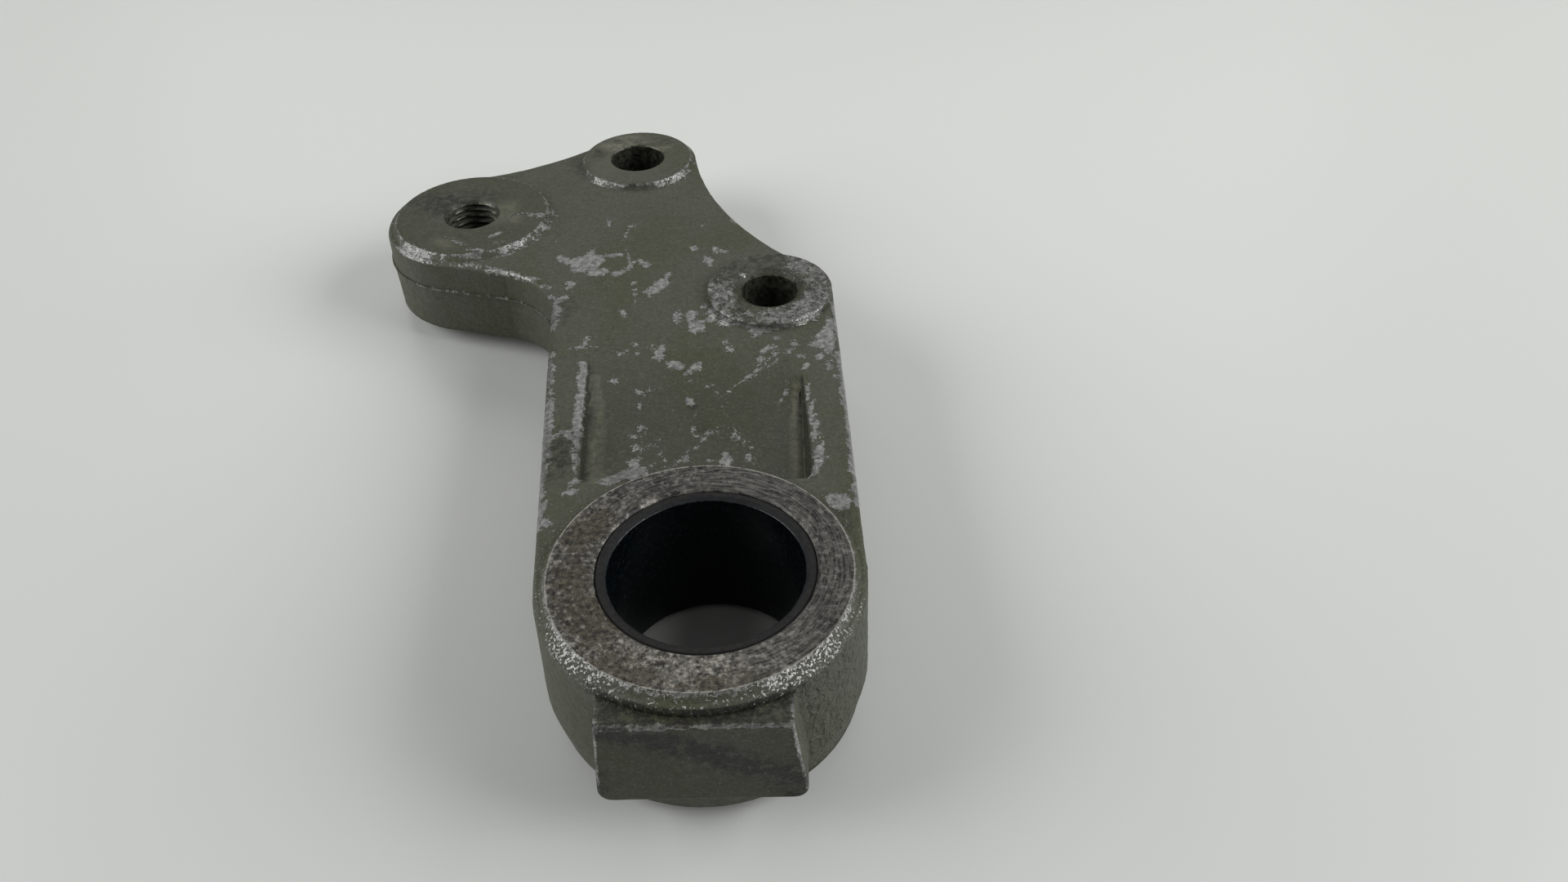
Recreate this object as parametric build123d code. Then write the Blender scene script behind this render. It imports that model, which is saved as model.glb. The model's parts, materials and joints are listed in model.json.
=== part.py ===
from build123d import *
from math import acos, asin, atan2, cos, hypot, pi, radians, sin, tan
import os

# Brake caliper bracket: one aluminium casting that swings on a plain bush in its hub.
# Millimetres. Levels are counted from the hub's lower machined face. The finished pieces
# are set with the origin on the bush axis at the hub's mid-height: +Z runs up that axis,
# +Y along the arm to the caliper end, and the lug faces -Y.

# Machined levels
hub_height = 21.5
caliper_plate_height = 16.0
machining_allowance = 0.8

# Pivot bush and its bore
bush_outer_diameter = 28.0
bush_wall = 1.5
bush_end_recess = 0.2
bush_inner_chamfer = 0.5
bush_outer_chamfer = 0.3
hub_bore_chamfer = 0.3

# Hub as cast: its core sat a little off the machined bore
hub_cast_x = -0.7
hub_cast_y = -0.4
hub_joint_radius = 21.35
hub_joint_drop = 1.0
hub_foot_inset = 1.15
hub_foot_chamfer = 0.3
hub_top_land_inset = 2.05
hub_shoulder_round = 1.0

# Caliper end: one tapped boss and two clearance bosses
tapped_boss_x = -44.1
tapped_boss_y = 86.2
tapped_lobe_radius = 14.85
tapped_land_radius = 13.05
tapped_land_bevel = 1.35
tapping_diameter = 8.7
tapping_countersink = 0.6
far_boss_x = -16.5
far_boss_y = 105.4
far_lobe_radius = 11.05
far_land_radius = 9.9
far_land_bevel = 0.95
far_hole_diameter = 9.6
far_hole_chamfer = 0.3
side_boss_x = 8.0
side_boss_y = 61.5
side_lobe_radius = 10.4
side_land_radius = 9.9
side_land_bevel = 0.2
side_hole_diameter = 9.0
side_countersink_width = 1.1
side_countersink_depth = 0.7
boss_foot_chamfer = 0.4

# Edges between the bosses
outer_web_radius = 60.0
end_web_radius = 46.5
lobe_flank_angle = -14.5
arm_left_lean = 5.0
inner_corner_radius = 10.0

# Casting practice
parting_depth = 5.4
draft_angle = 1.3
edge_round = 1.1
lower_edge_chamfer = 0.7
parting_ridge_width = 0.2
parting_ridge_height = 0.4
parting_ridge_start = 24.0

# Tapered recess between the two rails
recess_near_y = 16.8
recess_far_y = 46.5
recess_depth = 3.0
recess_near_left = -18.4
recess_near_right = 14.3
recess_far_left = -19.5
recess_far_right = 12.5
recess_rim_bevel = 0.5
recess_left_slope = 14.0
recess_right_slope = 23.0
recess_corner_radius = 2.2
recess_left_gutter_width = 1.6
recess_right_gutter_width = 1.1
recess_gutter_depth = 0.3

# Lug on the near side of the hub
lug_left = -13.0
lug_right = 12.65
lug_stand = 1.75
lug_step = 2.2
lug_foot_drop = 0.3
lug_taper = 3.2
lug_right_taper = 8.5
lug_corner_round = 1.8
lug_edge_round = 0.6
lug_root_radius = 0.5

# Levels that follow
plate_top = hub_height - machining_allowance
boss_foot = hub_height - caliper_plate_height
plate_bottom = boss_foot + machining_allowance
parting_level = plate_top - parting_depth
hub_joint_level = plate_bottom - hub_joint_drop
lug_top = hub_height - lug_step
lug_foot = plate_bottom - lug_foot_drop
hub_top_land_radius = hub_joint_radius - hub_top_land_inset
hub_foot_radius = hub_joint_radius - hub_foot_inset
lug_front = hub_cast_y - hub_joint_radius - lug_stand
hub_centre = Vector(hub_cast_x, hub_cast_y)
hub_radius = hub_joint_radius - (parting_level - hub_joint_level) * tan(radians(draft_angle))
tapped_centre = Vector(tapped_boss_x, tapped_boss_y)
far_centre = Vector(far_boss_x, far_boss_y)
side_centre = Vector(side_boss_x, side_boss_y)


def polar(centre, radius, angle):
    """Point on a circle at an angle in radians."""
    return centre + Vector(cos(angle), sin(angle)) * radius


def bearing(start, end):
    """Angle of the direction from one point to another."""
    return atan2(end.Y - start.Y, end.X - start.X)


def arc(centre, radius, start, end, turn):
    """Arc about a centre from one point to another, turn +1 anticlockwise, -1 clockwise."""
    first = bearing(centre, start)
    sweep = (turn * (bearing(centre, end) - first)) % (2 * pi)
    middle = polar(centre, radius, first + turn * sweep / 2)
    return ThreePointArc(start, middle, end)


def bridging_centre(first, first_radius, second, second_radius, radius):
    """Centre of the concave arc that touches two circles, to the right of first to second."""
    span = hypot(second.X - first.X, second.Y - first.Y)
    reach = first_radius + radius
    other = second_radius + radius
    turn = acos((reach ** 2 + span ** 2 - other ** 2) / (2 * reach * span))
    return polar(first, reach, bearing(first, second) - turn)


def crossing(point, angle, other, other_angle):
    """Where two lines given by a point and an angle cross."""
    along = Vector(cos(angle), sin(angle))
    across = Vector(cos(other_angle), sin(other_angle))
    gap = other - point
    share = (gap.X * across.Y - gap.Y * across.X) / (along.X * across.Y - along.Y * across.X)
    return point + along * share


def casting_outline():
    """Outline of the casting at the parting level, tangent all the way round."""
    span = hypot(side_centre.X - hub_centre.X, side_centre.Y - hub_centre.Y)
    swing = asin((hub_radius - side_lobe_radius) / span)
    right_normal = bearing(hub_centre, side_centre) - pi / 2 + swing
    hub_right = polar(hub_centre, hub_radius, right_normal)
    side_start = polar(side_centre, side_lobe_radius, right_normal)

    web = bridging_centre(side_centre, side_lobe_radius, far_centre, far_lobe_radius, outer_web_radius)
    side_end = polar(side_centre, side_lobe_radius, bearing(side_centre, web))
    far_start = polar(far_centre, far_lobe_radius, bearing(far_centre, web))

    end_web = bridging_centre(far_centre, far_lobe_radius, tapped_centre, tapped_lobe_radius, end_web_radius)
    far_end = polar(far_centre, far_lobe_radius, bearing(far_centre, end_web))
    tapped_start = polar(tapped_centre, tapped_lobe_radius, bearing(tapped_centre, end_web))

    flank = radians(lobe_flank_angle)
    flank_start = polar(tapped_centre, tapped_lobe_radius, flank - pi / 2)
    lean = radians(arm_left_lean)
    hub_left = polar(hub_centre, hub_radius, pi + lean)
    corner = crossing(flank_start, flank, hub_left, pi / 2 + lean)
    set_back = inner_corner_radius * tan((pi / 2 + lean + flank) / 2)
    corner_start = polar(corner, set_back, flank + pi)
    corner_end = polar(corner, set_back, lean - pi / 2)
    corner_centre = polar(corner_start, inner_corner_radius, flank - pi / 2)

    return make_face([
        Line(hub_right, side_start),
        arc(side_centre, side_lobe_radius, side_start, side_end, 1),
        arc(web, outer_web_radius, side_end, far_start, -1),
        arc(far_centre, far_lobe_radius, far_start, far_end, 1),
        arc(end_web, end_web_radius, far_end, tapped_start, -1),
        arc(tapped_centre, tapped_lobe_radius, tapped_start, flank_start, 1),
        Line(flank_start, corner_start),
        arc(corner_centre, inner_corner_radius, corner_start, corner_end, -1),
        Line(corner_end, hub_left),
        arc(hub_centre, hub_radius, hub_left, hub_right, 1),
    ])


def turned(points, centre):
    """Solid turned about the vertical axis through a centre from a radius and height profile."""
    profile = Plane.XZ * make_face(Polyline(*points, close=True))
    return Pos(centre.X, centre.Y, 0) * revolve(profile, Axis.Z)


def drafted_plate(outline):
    """The plate in both mould halves, drawn in from the parting level, its rims eased."""
    upper = extrude(Pos(0, 0, parting_level) * outline, plate_top - parting_level, taper=draft_angle)
    upper = fillet(upper.edges().group_by(Axis.Z)[-1], edge_round)
    lower = extrude(Pos(0, 0, parting_level) * outline, plate_bottom - parting_level, taper=draft_angle)
    lower = chamfer(lower.edges().group_by(Axis.Z)[0], lower_edge_chamfer)
    return upper + lower


def boss(centre, land_radius, bevel):
    """Boss through the plate: a bevelled machined land on top and a low pad below."""
    side = land_radius + bevel
    return turned([
        (0, boss_foot),
        (land_radius - boss_foot_chamfer, boss_foot),
        (land_radius, boss_foot + boss_foot_chamfer),
        (land_radius, parting_level),
        (side, plate_top - edge_round),
        (side, hub_height - bevel),
        (land_radius, hub_height),
        (0, hub_height),
    ], centre)


def hub():
    """Hub as cast: widest at its own mould joint, drafted above it and tapered to the foot."""
    draft = tan(radians(draft_angle))
    reach = (hub_joint_radius - hub_top_land_radius - (hub_height - hub_joint_level) * draft) / (1 - draft)
    spread = (hub_joint_radius - hub_foot_radius) / hub_joint_level
    barrel = turned([
        (0, 0),
        (hub_foot_radius - hub_foot_chamfer, 0),
        (hub_foot_radius + hub_foot_chamfer * spread, hub_foot_chamfer),
        (hub_joint_radius, hub_joint_level),
        (hub_top_land_radius + reach, hub_height - reach),
        (hub_top_land_radius, hub_height),
        (0, hub_height),
    ], hub_centre)
    rims = barrel.edges().filter_by(GeomType.CIRCLE).group_by(Axis.Z)
    return fillet(rims[-2], hub_shoulder_round)


def lug():
    """Block on the near side of the hub, drawn in to its top, most of all on its right side."""
    rise = lug_top - lug_foot
    left_inset = rise * tan(radians(lug_taper))
    right_inset = rise * tan(radians(lug_right_taper))
    front_view = Plane.XZ.offset(-hub_cast_y) * make_face(Polyline(
        (lug_left, lug_foot), (lug_right, lug_foot),
        (lug_right - right_inset, lug_top), (lug_left + left_inset, lug_top),
        close=True,
    ))
    block = extrude(front_view, hub_cast_y - lug_front)
    lean = radians(lug_taper)
    front_plane = Plane(origin=(0, lug_front, lug_foot), z_dir=(0, -cos(lean), sin(lean)))
    block = split(block, bisect_by=front_plane, keep=Keep.BOTTOM)
    foot_corners = block.edges().filter_by(Axis.Y).group_by(Axis.Z)[0]
    block = fillet(foot_corners, lug_corner_round)
    front = block.faces().sort_by(Axis.Y)[0]
    return fillet(front.edges(), lug_edge_round)


def hub_with_lug():
    """Hub and lug as one lump, rounded where the lug's sides meet the barrel."""
    lump = hub() + lug()
    roots = [
        edge for edge in lump.edges().filter_by(GeomType.ELLIPSE)
        if edge.length > (lug_top - lug_foot) / 2
    ]
    return fillet(roots, lug_root_radius)


def parting_ridge(outline):
    """Fine ridge that the mould joint left round the arm and the caliper end."""
    slab = extrude(offset(outline, parting_ridge_width), parting_ridge_height / 2, both=True)
    hub_side = Plane(origin=(0, parting_ridge_start, 0), z_dir=(0, 1, 0))
    return Pos(0, 0, parting_level) * split(slab, bisect_by=hub_side, keep=Keep.TOP)


def station_face(y, points):
    """Upright face at a station along the arm from points of across and height."""
    return make_face(Polyline(*[Vector(x, y, z) for x, z in points], close=True))


def tapered_recess():
    """Space between the rails, a wedge that deepens to the hub, with a gutter along each wall."""
    left_wall = tan(radians(recess_left_slope))
    right_wall = tan(radians(recess_right_slope))

    def section(y, depth, bevel, left, right):
        rise = machining_allowance + bevel
        left_foot = left + bevel + (depth - bevel) * left_wall
        right_foot = right - bevel - (depth - bevel) * right_wall
        floor = plate_top - depth
        return station_face(y, [
            (left + bevel - rise * left_wall, hub_height),
            (left_foot, floor - recess_gutter_depth),
            (left_foot + recess_left_gutter_width, floor),
            (right_foot - recess_right_gutter_width, floor),
            (right_foot, floor - recess_gutter_depth),
            (right - bevel + rise * right_wall, hub_height),
        ])

    near = section(recess_near_y, recess_depth, recess_rim_bevel, recess_near_left, recess_near_right)
    far = section(recess_far_y, 0, 0, recess_far_left, recess_far_right)
    wedge = loft([near, far], ruled=True)
    end = wedge.faces().sort_by(Axis.Y)[0]
    corners = end.edges().filter_by(lambda edge: abs((edge @ 1 - edge @ 0).Z) > recess_depth)
    return fillet(corners, recess_corner_radius)


def rail_bevels():
    """Shallow wedge that takes the sharp edge off both rails."""
    def section(y, depth, left, right):
        return station_face(y, [
            (left - machining_allowance, hub_height),
            (left + depth, plate_top - depth),
            (right - depth, plate_top - depth),
            (right + machining_allowance, hub_height),
        ])

    near = section(recess_near_y, recess_rim_bevel, recess_near_left, recess_near_right)
    far = section(recess_far_y, 0, recess_far_left, recess_far_right)
    return loft([near, far], ruled=True)


def drilled(centre, diameter, mouth_width, mouth_depth):
    """Through hole in a boss, opened out conically at both ends."""
    radius = diameter / 2
    return turned([
        (0, boss_foot),
        (radius + mouth_width, boss_foot),
        (radius, boss_foot + mouth_depth),
        (radius, hub_height - mouth_depth),
        (radius + mouth_width, hub_height),
        (0, hub_height),
    ], centre)


def pivot_bore():
    """Bore for the bush, with a small lead at both ends."""
    radius = bush_outer_diameter / 2
    return turned([
        (0, 0),
        (radius + hub_bore_chamfer, 0),
        (radius, hub_bore_chamfer),
        (radius, hub_height - hub_bore_chamfer),
        (radius + hub_bore_chamfer, hub_height),
        (0, hub_height),
    ], Vector(0, 0))


def bracket_casting():
    """The whole casting with its machined faces and holes."""
    outline = casting_outline()
    body = drafted_plate(outline) + parting_ridge(outline)
    body = body - tapered_recess() - rail_bevels()
    body = body + hub_with_lug()
    body = body + boss(tapped_centre, tapped_land_radius, tapped_land_bevel)
    body = body + boss(far_centre, far_land_radius, far_land_bevel)
    body = body + boss(side_centre, side_land_radius, side_land_bevel)
    body = body - pivot_bore()
    body = body - drilled(tapped_centre, tapping_diameter, tapping_countersink, tapping_countersink)
    body = body - drilled(far_centre, far_hole_diameter, far_hole_chamfer, far_hole_chamfer)
    body = body - drilled(side_centre, side_hole_diameter, side_countersink_width, side_countersink_depth)
    return body


def pivot_bush():
    """Plain bush pressed into the hub, a little shorter than the bore, chamfered at both ends."""
    outer = bush_outer_diameter / 2
    inner = outer - bush_wall
    low = bush_end_recess
    high = hub_height - bush_end_recess
    return turned([
        (inner, low + bush_inner_chamfer),
        (inner + bush_inner_chamfer, low),
        (outer - bush_outer_chamfer, low),
        (outer, low + bush_outer_chamfer),
        (outer, high - bush_outer_chamfer),
        (outer - bush_outer_chamfer, high),
        (inner + bush_inner_chamfer, high),
        (inner, high - bush_inner_chamfer),
    ], Vector(0, 0))


bore_middle = Pos(0, 0, -hub_height / 2)
nodes = {
    "bracket_casting": bore_middle * bracket_casting(),
    "pivot_bush": bore_middle * pivot_bush(),
}

os.makedirs("parts", exist_ok=True)
for name, shape in nodes.items():
    solid = shape.solid()
    solid.label = name
    export_step(solid, f"parts/{name}.step")
    print(name, round(solid.volume / 1000, 2), "cm3")
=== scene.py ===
import bpy
import json
import numpy as np
from math import cos, hypot, pi, radians, sin
from mathutils import Matrix, Vector

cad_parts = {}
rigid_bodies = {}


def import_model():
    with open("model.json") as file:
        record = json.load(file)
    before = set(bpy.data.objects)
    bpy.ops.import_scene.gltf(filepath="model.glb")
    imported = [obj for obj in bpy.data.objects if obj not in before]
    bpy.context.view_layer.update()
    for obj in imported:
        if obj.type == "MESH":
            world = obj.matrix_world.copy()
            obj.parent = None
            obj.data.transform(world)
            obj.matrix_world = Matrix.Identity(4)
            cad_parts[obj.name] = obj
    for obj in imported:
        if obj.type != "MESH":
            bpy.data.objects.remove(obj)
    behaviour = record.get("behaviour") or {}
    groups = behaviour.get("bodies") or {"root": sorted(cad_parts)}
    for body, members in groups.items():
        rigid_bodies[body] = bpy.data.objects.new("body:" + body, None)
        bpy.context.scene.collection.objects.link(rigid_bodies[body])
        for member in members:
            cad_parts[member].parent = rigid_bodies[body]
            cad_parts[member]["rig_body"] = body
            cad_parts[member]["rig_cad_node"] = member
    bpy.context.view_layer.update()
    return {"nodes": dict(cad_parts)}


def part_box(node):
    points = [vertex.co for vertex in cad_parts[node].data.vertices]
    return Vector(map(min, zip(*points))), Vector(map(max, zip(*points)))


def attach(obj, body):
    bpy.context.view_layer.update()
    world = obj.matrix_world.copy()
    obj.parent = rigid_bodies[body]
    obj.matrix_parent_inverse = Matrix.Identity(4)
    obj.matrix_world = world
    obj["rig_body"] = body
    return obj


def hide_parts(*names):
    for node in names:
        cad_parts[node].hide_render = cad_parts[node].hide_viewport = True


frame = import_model()

# Casting. The bracket is one piece of cast aluminium, painted olive grey, with its hub and
# boss faces machined. This is the CAD casting, cut finer so that its as-cast skin, the cut
# thread and the chipped paint can be worked into the same surface.
MM = 0.001
hub_face, pad_face = 10.75, -5.25
plate_top, plate_bottom = 9.95, -4.45
joint_level = 4.55
bush_seat_radius = 14.0
hub_x, hub_y, hub_land_radius, hub_radius = -0.7, -0.4, 19.3, 21.35
tapped_x, tapped_y, tapped_land_radius, tapped_bevel_radius = -44.1, 86.2, 13.05, 14.4
far_x, far_y, far_land_radius, far_bevel_radius = -16.5, 105.4, 9.9, 10.85
side_x, side_y, side_land_radius, side_bevel_radius = 8.0, 61.5, 9.9, 10.1
bosses = (
    # x, y, radius of the land, and how far from the middle a face still belongs to the hole
    (tapped_x, tapped_y, tapped_land_radius, 4.65),
    (far_x, far_y, far_land_radius, 4.95),
    (side_x, side_y, side_land_radius, 4.8),
)
skin_cell, close_cell, chip_cell = 1.5, 0.75, 0.38
weld = 0.0005


def pick_faces(piece, wanted):
    """Selects the faces whose middle (mm) and normal pass a test, from edit mode and back to it."""
    bpy.ops.object.mode_set(mode="OBJECT")
    for face in piece.data.polygons:
        face.select = wanted(face.center / MM, face.normal)
    bpy.ops.object.mode_set(mode="EDIT")


cad_casting = frame["nodes"]["bracket_casting"]
bpy.ops.object.select_all(action="DESELECT")
casting = cad_casting.copy()
casting.data = cad_casting.data.copy()
casting.parent = None
casting.name = "casting_skin"
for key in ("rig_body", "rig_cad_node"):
    del casting[key]
bpy.context.scene.collection.objects.link(casting)
casting.select_set(True)
bpy.context.view_layer.objects.active = casting

bpy.ops.object.mode_set(mode="EDIT")
bpy.ops.mesh.select_mode(type="VERT")
bpy.ops.mesh.select_all(action="SELECT")
bpy.ops.mesh.remove_doubles(threshold=weld * MM)
bpy.ops.mesh.customdata_custom_splitnormals_clear()
bpy.ops.mesh.dissolve_limited(angle_limit=radians(0.05))

# The M10 thread is cut in the tapping bore, so the wall of that bore is sliced finely along
# its length and its points are moved out to the thread's roots.
tapping_radius = 4.35
thread_root_radius = 4.98
thread_pitch = 1.25
thread_lead = 0.6
thread_run_out = 0.5
thread_top = hub_face - thread_lead
thread_foot = pad_face + thread_lead
slices_per_pitch = 8


def on_tapping_wall(middle, normal):
    reach = hypot(middle.x - tapped_x, middle.y - tapped_y)
    return abs(reach - tapping_radius) < 0.1 and abs(normal.z) < 0.1


pick_faces(casting, on_tapping_wall)
level = thread_foot + thread_pitch / slices_per_pitch
while level < thread_top:
    bpy.ops.mesh.bisect(plane_co=(0, 0, level * MM), plane_no=(0, 0, 1))
    bpy.ops.mesh.select_all(action="DESELECT")
    pick_faces(casting, on_tapping_wall)
    level += thread_pitch / slices_per_pitch

# Chips down to bare metal on the upper side: x, y, half length, half width and turn
chips = [
    # ragged patch in front of the tapped boss
    (-22.4, 71.4, 3.0, 2.3, 15), (-26.6, 72.4, 2.0, 0.6, -38), (-18.0, 73.3, 1.7, 0.5, 5),
    (-20.4, 68.2, 1.7, 1.1, 20), (-23.4, 69.2, 1.6, 0.9, 0), (-22.0, 74.2, 1.2, 0.6, 60),
    (-15.6, 72.6, 1.9, 0.3, -75), (-15.0, 69.9, 1.3, 0.6, 80), (-16.9, 67.9, 1.7, 0.7, 35),
    (-12.8, 70.5, 1.3, 0.7, -50), (-16.7, 79.0, 1.1, 0.35, 80), (-15.8, 82.4, 0.9, 0.4, 50),
    (-28.4, 77.7, 0.5, 0.3, -60), (-20.0, 83.8, 0.6, 0.2, 90), (-3.4, 82.2, 0.6, 0.3, 90),
    # patches between the side boss and the middle
    (-9.6, 64.2, 1.7, 1.3, 60), (-11.0, 62.5, 1.5, 0.9, 35), (-11.4, 60.7, 0.5, 0.4, 0),
    (-13.6, 62.8, 0.6, 0.5, 0), (-14.2, 64.4, 0.4, 0.3, 60), (-13.6, 61.2, 0.8, 0.2, 90),
    (-8.7, 66.8, 0.9, 0.4, 90), (-4.6, 75.1, 0.8, 0.7, 0), (-1.2, 74.5, 0.9, 0.5, -70),
    (-2.2, 71.2, 1.2, 0.7, -60), (-1.6, 69.8, 0.5, 0.4, 0), (0.6, 73.4, 0.7, 0.3, -60),
    (-15.3, 56.4, 1.0, 0.5, -60), (-24.6, 65.1, 0.8, 0.6, 0), (1.9, 83.7, 0.9, 0.4, -60),
    (-6.5, 55.0, 1.4, 0.6, 90), (-4.2, 55.4, 1.4, 0.9, 80), (-3.4, 52.4, 1.9, 1.2, 85),
    (-1.6, 53.9, 1.4, 0.5, 12), (-0.9, 56.6, 1.3, 0.8, 70), (1.2, 54.2, 1.6, 0.9, -60),
    (-2.5, 57.6, 0.7, 0.4, 50), (6.4, 50.4, 1.6, 0.7, 35), (7.8, 51.6, 0.9, 0.5, 70),
    # right of the hub face and down the rails
    (16.7, 48.2, 3.2, 1.5, 85), (15.0, 47.3, 1.2, 0.8, 20), (17.4, 51.8, 2.4, 0.7, 90),
    (15.7, 43.9, 1.1, 0.6, 30), (16.9, 41.9, 1.4, 0.4, 80), (17.6, 39.3, 0.4, 0.4, 0),
    (13.9, 32.0, 1.3, 0.5, 75), (14.2, 29.6, 0.8, 0.5, 60), (14.6, 27.8, 0.9, 0.4, 90),
    (14.3, 25.8, 1.3, 0.4, 80), (14.8, 22.4, 2.2, 0.7, 82), (14.4, 19.2, 1.7, 0.5, 60),
    (12.9, 17.6, 1.5, 0.45, 25), (13.6, 36.8, 0.5, 0.3, 80), (13.6, 34.8, 0.8, 0.35, 80),
    (17.2, 12.2, 1.9, 1.6, 0), (-20.8, 47.5, 1.3, 0.35, 5), (-20.4, 48.9, 0.8, 0.4, 80),
    (-19.9, 50.2, 0.5, 0.2, 0), (-20.2, 43.0, 1.4, 0.6, 110), (-22.1, 26.7, 1.8, 0.5, 20),
    (-20.2, 26.8, 1.6, 0.7, -20), (-18.9, 22.5, 1.8, 0.6, -80), (-18.6, 19.3, 1.4, 0.45, -75),
    (-18.3, 17.2, 0.9, 0.5, 60), (-18.6, 15.0, 0.9, 0.5, 10), (-13.4, 17.9, 2.1, 1.2, 38),
    (-11.5, 19.2, 1.9, 0.9, 20), (-21.4, 9.3, 1.1, 0.7, -20), (-22.3, 12.5, 1.2, 0.5, 90),
]

# Those on the recess floor were read at the height of the rails, so each is moved on along the
# line it was seen by, down to the floor that slopes to the hub
on_the_recess_floor = [
    # start of the recess
    (-6.0, 42.4, 1.5, 0.9, -15), (-3.9, 41.4, 1.1, 0.5, 60), (-2.7, 42.0, 0.8, 0.6, 40),
    (-8.6, 46.2, 1.2, 0.7, 75), (-8.8, 44.6, 0.9, 0.6, 20), (-9.5, 47.0, 0.7, 0.3, -20),
    (-12.3, 47.7, 0.8, 0.4, -35), (-12.1, 45.6, 0.5, 0.3, 0), (-14.8, 45.7, 0.5, 0.4, 0),
    (-13.7, 46.3, 0.4, 0.3, 0), (1.2, 48.3, 0.7, 0.3, 80), (1.7, 46.6, 0.9, 0.5, -75),
    (7.4, 45.9, 0.9, 0.35, 50), (8.9, 46.7, 0.5, 0.3, -30), (9.1, 44.9, 0.8, 0.4, 70),
    (6.6, 43.6, 0.8, 0.35, 75), (8.7, 43.4, 0.5, 0.2, -10), (8.0, 42.3, 0.5, 0.2, 60),
    (6.4, 40.9, 0.9, 0.05, 55), (4.8, 39.4, 0.8, 0.02, 45), (11.8, 47.5, 0.7, 0.45, 90),
    (11.3, 45.8, 0.7, 0.4, 60), (12.5, 44.1, 0.7, 0.4, -30), (9.2, 49.2, 0.4, 0.4, 0),
    (13.5, 41.3, 1.0, 0.4, 65), (-15.2, 39.0, 0.7, 0.5, -70), (-11.2, 36.3, 0.9, 0.4, -35),
    (-9.9, 36.6, 0.8, 0.25, 15), (-11.1, 33.4, 0.6, 0.3, 80), (-3.3, 38.6, 0.7, 0.3, 0),
    (-1.1, 37.2, 0.9, 0.25, 40), (0.3, 36.0, 0.4, 0.3, 0), (-3.5, 33.4, 0.9, 0.5, -60),
    # floor of the recess near the hub
    (-11.2, 20.7, 0.9, 0.4, 30), (-11.5, 26.2, 1.0, 0.5, -70), (-10.5, 27.9, 1.2, 0.35, -60),
    (-11.1, 24.3, 0.9, 0.4, 95), (-8.8, 24.1, 0.9, 0.18, 40), (-6.9, 21.0, 0.9, 0.2, 110),
    (-4.6, 21.1, 1.7, 0.22, 48), (-3.3, 20.6, 0.6, 0.25, -20), (-0.6, 27.0, 0.6, 0.5, 40),
    (0.8, 25.5, 0.6, 0.3, 80), (3.2, 25.7, 0.9, 0.5, -60), (2.8, 27.0, 0.6, 0.2, -40),
    (4.8, 23.9, 0.9, 0.4, -60), (1.6, 21.2, 1.1, 0.6, 60), (2.3, 20.8, 0.9, 0.4, 85),
    (-0.6, 20.7, 0.5, 0.4, 0), (5.2, 21.1, 0.8, 0.4, 60), (5.9, 20.6, 0.7, 0.25, -60),
    (9.5, 33.8, 0.8, 0.3, 50), (10.4, 36.0, 0.9, 0.25, 85),
]
recess_mouth, recess_near_end = 46.5, 16.8
recess_depth, recess_bevel = 3.0, 0.5
seen_further = 0.106
nick = (-1.9, 29.0, 1.5, 1.3, 0)
for x, y, length, width, turn in on_the_recess_floor:
    chips.append((x, y + seen_further * (recess_mouth - y), length, width, turn))

# Cut into small cells, so that the skin can follow a cast surface. The first cut along each
# axis lies a share of a cell in, clear of the casting's own levels.
first_cut = 0.37
low, high = [Vector(corner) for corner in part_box("bracket_casting")]
for axis in range(3):
    across = Vector([float(i == axis) for i in range(3)])
    cut = low[axis] / MM + skin_cell * first_cut
    while cut < high[axis] / MM:
        bpy.ops.mesh.select_all(action="SELECT")
        bpy.ops.mesh.bisect(plane_co=across * cut * MM, plane_no=across)
        cut += skin_cell
bpy.ops.mesh.select_all(action="SELECT")
bpy.ops.mesh.quads_convert_to_tris(quad_method="BEAUTY", ngon_method="BEAUTY")


def ovals(spots, oval):
    """How far inside an oval patch of the upper side each place lies, in mm."""
    x, y, length, width, turn = oval
    along = (spots[:, 0] - x) * cos(radians(turn)) + (spots[:, 1] - y) * sin(radians(turn))
    across = (spots[:, 1] - y) * cos(radians(turn)) - (spots[:, 0] - x) * sin(radians(turn))
    return (1 - np.hypot(along / length, across / width)) * width


def split_edges(piece, longest, wanted):
    """Halves the edges over a length (mm) whose middles pass a test, and makes triangles again."""
    bpy.ops.object.mode_set(mode="OBJECT")
    mesh = piece.data
    co = np.zeros(len(mesh.vertices) * 3)
    mesh.vertices.foreach_get("co", co)
    ends = np.zeros(len(mesh.edges) * 2, int)
    mesh.edges.foreach_get("vertices", ends)
    ends = (co.reshape(-1, 3) / MM)[ends].reshape(-1, 2, 3)
    long = np.linalg.norm(ends[:, 0] - ends[:, 1], axis=1) > longest
    mesh.vertices.foreach_set("select", np.zeros(len(mesh.vertices), bool))
    mesh.polygons.foreach_set("select", np.zeros(len(mesh.polygons), bool))
    mesh.edges.foreach_set("select", long & wanted(ends.mean(axis=1)))
    bpy.ops.object.mode_set(mode="EDIT")
    bpy.ops.mesh.select_mode(type="EDGE")
    bpy.ops.mesh.subdivide(number_cuts=1)
    bpy.ops.mesh.select_all(action="SELECT")
    bpy.ops.mesh.quads_convert_to_tris(quad_method="BEAUTY", ngon_method="BEAUTY")


def seen_closely(spots):
    """The upper side, and the near side of the hub with its lug, which carry the fine wear."""
    near = (spots[:, 1] < -6) & (spots[:, 2] > 3)
    near &= np.hypot(spots[:, 0], spots[:, 1]) > bush_seat_radius + 1
    return near | (spots[:, 2] > plate_top - 1.4)


def by_a_chip(spots):
    """Within half a millimetre of a chip on the upper side, or in the nick of the recess floor."""
    found = ovals(spots, nick) > -0.8
    for chip in chips:
        found |= ovals(spots, chip) > -0.5
    return found & (spots[:, 2] > plate_top - 3.5)


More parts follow.
